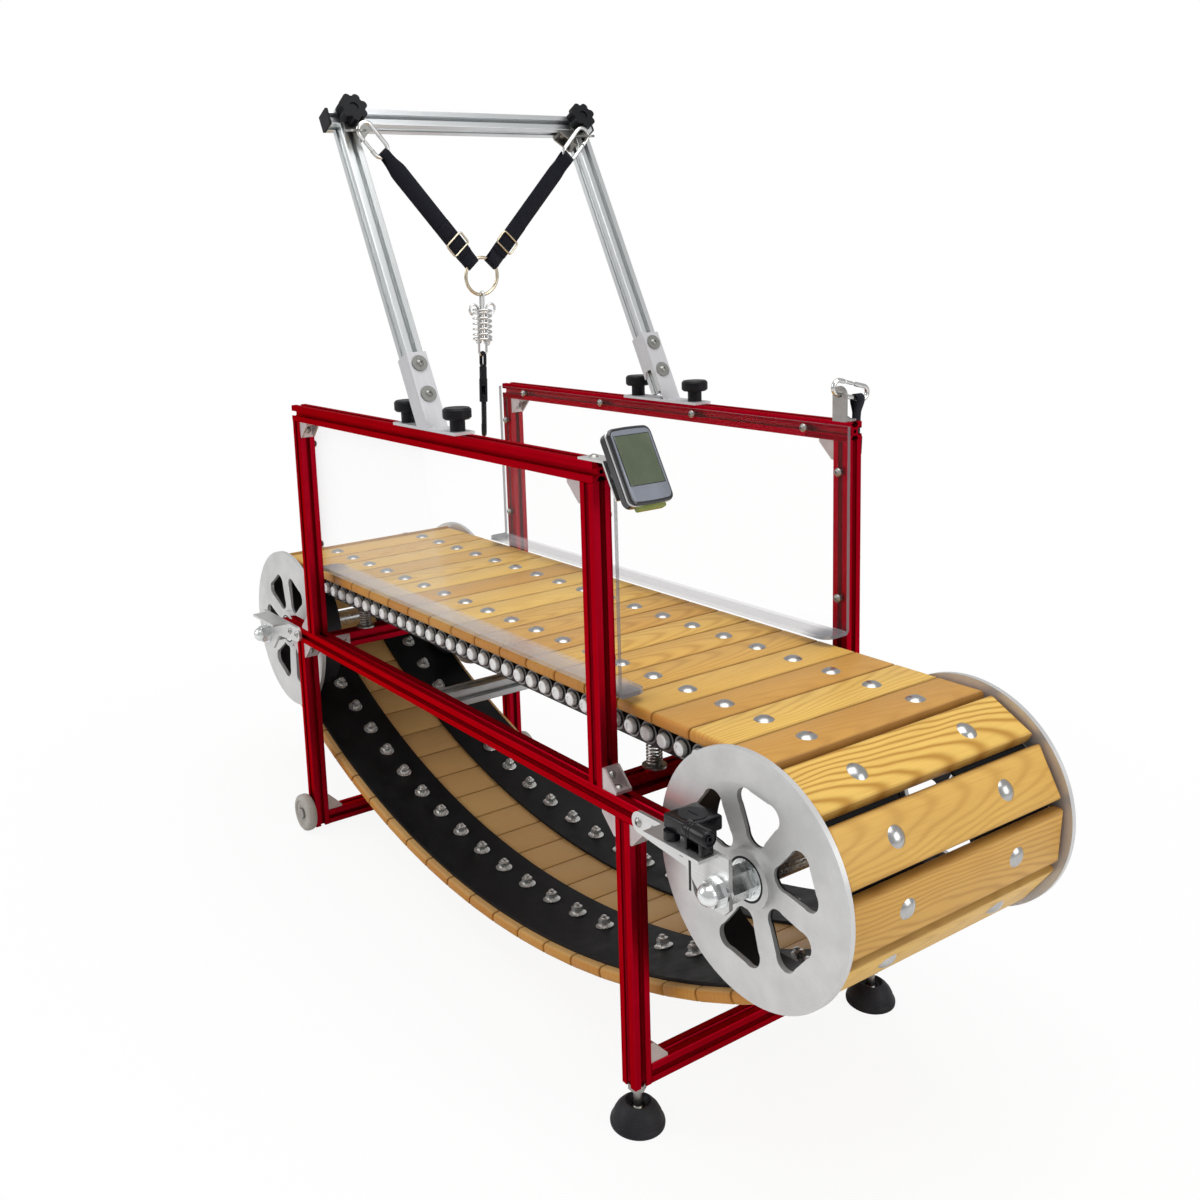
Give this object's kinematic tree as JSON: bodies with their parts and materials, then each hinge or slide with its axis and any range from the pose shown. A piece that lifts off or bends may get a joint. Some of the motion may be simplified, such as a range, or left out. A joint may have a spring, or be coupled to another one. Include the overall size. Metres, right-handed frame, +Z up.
{
  "type": "dog treadmill",
  "caption": "Manual slat-belt dog treadmill: an inclined slotted-profile frame with clear side panels, discs that carry a hanging loop of wooden slats, and a harness gantry.",
  "frame": {"origin": "on the ground, under the middle of the overall box", "axes": "+X towards the front, raised end; +Y to the left side; +Z up"},
  "size_m": [1.1486, 0.388, 0.9564],
  "materials": {
    "red_anodised": "red anodised, satin",
    "bare_aluminium": "silver anodised, satin",
    "zinc": "zinc plated",
    "bright_steel": "polished",
    "clear": "clear, glossy",
    "wood": "oiled, satin",
    "belt": "matt",
    "disc": "brushed",
    "dark_steel": "black, satin",
    "black_plastic": "matt",
    "display_face": "gloss",
    "key": "satin",
    "wheel": "matt",
    "pad": "matt",
    "webbing": "woven",
    "black_metal": "black, satin"
  },
  "bodies": {
    "base": {"side_rails": "red_anodised", "handrails": "red_anodised", "uprights": "red_anodised", "cross_bars": "red_anodised", "middle_bar": "bare_aluminium", "corner_brackets": "bare_aluminium", "frame_screws": "zinc", "side_panels": "clear", "axle_brackets": "bare_aluminium", "axles": "bright_steel", "sensor_body": "black_plastic", "display_bracket": "zinc", "display_case": "black_plastic", "display_screen": "display_face", "foot_stems": "zinc", "spring_front_right": "zinc", "spring_front_left": "zinc", "spring_rear_right": "zinc", "spring_rear_left": "zinc", "spring_cups": "zinc", "slats": "wood", "belts": "belt", "slat_bolts": "zinc", "corner_eye": "zinc"},
    "front_discs": {"front_discs": "disc"},
    "rear_discs": {"rear_discs": "disc"},
    "wheel_right": {"wheel_right": "wheel"},
    "wheel_left": {"wheel_left": "wheel"},
    "foot_pad_right": {"foot_pad_right": "pad"},
    "foot_pad_left": {"foot_pad_left": "pad"},
    "roller_bed_right": {"roller_rail_right": "dark_steel", "rollers_right": "zinc"},
    "roller_bed_left": {"roller_rail_left": "dark_steel", "rollers_left": "zinc"},
    "gantry": {"gantry_arms": "bare_aluminium", "gantry_bar": "bare_aluminium", "gantry_end_caps": "black_plastic", "gantry_feet": "bare_aluminium", "gantry_fittings": "zinc"},
    "clamp_front_right": {"clamp_knob_front_right": "black_plastic"},
    "clamp_rear_right": {"clamp_knob_rear_right": "black_plastic"},
    "clamp_front_left": {"clamp_knob_front_left": "black_plastic"},
    "clamp_rear_left": {"clamp_knob_rear_left": "black_plastic"},
    "star_right": {"star_knob_right": "black_plastic"},
    "star_left": {"star_knob_left": "black_plastic"},
    "harness": {"snap_links": "bright_steel", "harness_straps": "webbing", "harness_rings": "bright_steel", "shock_spring": "bright_steel"},
    "gate_right": {"link_gate_right": "bright_steel"},
    "gate_left": {"link_gate_left": "bright_steel"},
    "shock": {"shock_rod": "bright_steel", "snap_eye": "black_metal"},
    "hook": {"snap_hook": "black_metal"},
    "hook_bolt": {"snap_bolt": "black_metal"},
    "tether": {"corner_link": "bright_steel", "corner_strap": "webbing"},
    "tether_gate": {"corner_gate": "bright_steel"},
    "cap": {"sensor_cap": "black_plastic"},
    "key": {"display_key": "key"}
  },
  "joints": [
    {"name": "front_disc_spin", "type": "hinge", "parent": "base", "child": "front_discs", "pos_m": [0.46427, 0, 0.30081], "axis": [0, 1, 0], "continuous": true},
    {"name": "rear_disc_spin", "type": "hinge", "parent": "base", "child": "rear_discs", "pos_m": [-0.46427, 0, 0.24889], "axis": [0, 1, 0], "continuous": true},
    {"name": "wheel_right_spin", "type": "hinge", "parent": "base", "child": "wheel_right", "pos_m": [-0.3486, -0.16, 0.025], "axis": [0, 1, 0], "continuous": true},
    {"name": "wheel_left_spin", "type": "hinge", "parent": "base", "child": "wheel_left", "pos_m": [-0.3486, 0.16, 0.025], "axis": [0, 1, 0], "continuous": true},
    {"name": "foot_right_swivel", "type": "hinge", "parent": "base", "child": "foot_pad_right", "pos_m": [0.3491, -0.16, 0.014], "axis": [0, 1, 0], "range_deg": [-6, 6]},
    {"name": "foot_left_swivel", "type": "hinge", "parent": "base", "child": "foot_pad_left", "pos_m": [0.3491, 0.16, 0.014], "axis": [0, 1, 0], "range_deg": [-6, 6]},
    {"name": "roller_bed_right_bounce", "type": "slide", "parent": "base", "child": "roller_bed_right", "axis": [-0.0558, 0, 0.9984], "range_m": [-0.006, 0], "stiffness_N_per_m": 20000, "springref_m": 0.004, "deforming": ["spring_front_right", "spring_rear_right"]},
    {"name": "roller_bed_left_bounce", "type": "slide", "parent": "base", "child": "roller_bed_left", "axis": [-0.0558, 0, 0.9984], "range_m": [-0.006, 0], "stiffness_N_per_m": 20000, "springref_m": 0.004, "deforming": ["spring_front_left", "spring_rear_left"]},
    {"name": "gantry_slide", "type": "slide", "parent": "base", "child": "gantry", "axis": [0.9984, 0, 0.0558], "range_m": [-0.2, 0.15]},
    {"name": "clamp_front_right_turn", "type": "hinge", "parent": "gantry", "child": "clamp_front_right", "pos_m": [0.04542, -0.16, 0.60891], "axis": [-0.0558, 0, 0.9984], "continuous": true},
    {"name": "clamp_front_left_turn", "type": "hinge", "parent": "gantry", "child": "clamp_front_left", "pos_m": [0.04542, 0.16, 0.60891], "axis": [-0.0558, 0, 0.9984], "continuous": true},
    {"name": "clamp_rear_right_turn", "type": "hinge", "parent": "gantry", "child": "clamp_rear_right", "pos_m": [-0.05842, -0.16, 0.6031], "axis": [-0.0558, 0, 0.9984], "continuous": true},
    {"name": "clamp_rear_left_turn", "type": "hinge", "parent": "gantry", "child": "clamp_rear_left", "pos_m": [-0.05842, 0.16, 0.6031], "axis": [-0.0558, 0, 0.9984], "continuous": true},
    {"name": "star_right_turn", "type": "hinge", "parent": "gantry", "child": "star_right", "pos_m": [-0.18548, -0.157, 0.93341], "axis": [0.8643, 0, 0.503], "continuous": true},
    {"name": "star_left_turn", "type": "hinge", "parent": "gantry", "child": "star_left", "pos_m": [-0.18548, 0.157, 0.93341], "axis": [0.8643, 0, 0.503], "continuous": true},
    {"name": "harness_swing", "type": "hinge", "parent": "gantry", "child": "harness", "pos_m": [-0.16134, 0, 0.91675], "axis": [0, 1, 0], "range_deg": [-12, 12]},
    {"name": "gate_right_open", "type": "hinge", "parent": "harness", "child": "gate_right", "pos_m": [-0.16134, -0.14916, 0.90456], "axis": [1, 0, 0], "range_deg": [0, 22], "stiffness_Nm_per_rad": 0.05, "springref_deg": -5},
    {"name": "gate_left_open", "type": "hinge", "parent": "harness", "child": "gate_left", "pos_m": [-0.16134, 0.14916, 0.90456], "axis": [1, 0, 0], "range_deg": [-22, 0], "stiffness_Nm_per_rad": 0.05, "springref_deg": 5},
    {"name": "shock_stretch", "type": "slide", "parent": "harness", "child": "shock", "axis": [0, 0, 1], "range_m": [-0.015, 0], "stiffness_N_per_m": 1500, "springref_m": 0.004, "deforming": ["shock_spring"]},
    {"name": "hook_swivel", "type": "hinge", "parent": "shock", "child": "hook", "pos_m": [-0.16134, 0, 0.63705], "axis": [0, 0, 1], "continuous": true},
    {"name": "hook_bolt_pull", "type": "slide", "parent": "hook", "child": "hook_bolt", "axis": [0, 0, 1], "range_m": [0, 0.01], "stiffness_N_per_m": 200, "springref_m": -0.004},
    {"name": "tether_swing", "type": "hinge", "parent": "base", "child": "tether", "pos_m": [0.27356, 0.15125, 0.6487], "axis": [0, 1, 0], "range_deg": [-15, 15]},
    {"name": "tether_gate_open", "type": "hinge", "parent": "tether", "child": "tether_gate", "pos_m": [0.27356, 0.15784, 0.66149], "axis": [1, 0, 0], "range_deg": [-14, 0], "stiffness_Nm_per_rad": 0.05, "springref_deg": 5},
    {"name": "battery_cap_turn", "type": "hinge", "parent": "base", "child": "cap", "pos_m": [0.42449, -0.168, 0.34966], "axis": [-0.0558, 0, 0.9984], "range_deg": [0, 90]},
    {"name": "display_key_press", "type": "slide", "parent": "base", "child": "key", "axis": [-0.5329, 0, 0.8462], "range_m": [0, 0.001], "stiffness_N_per_m": 500, "springref_m": -0.001}
  ],
  "couplings": [
    {"joint": "rear_disc_spin", "follows": "front_disc_spin", "ratio": 1}
  ]
}
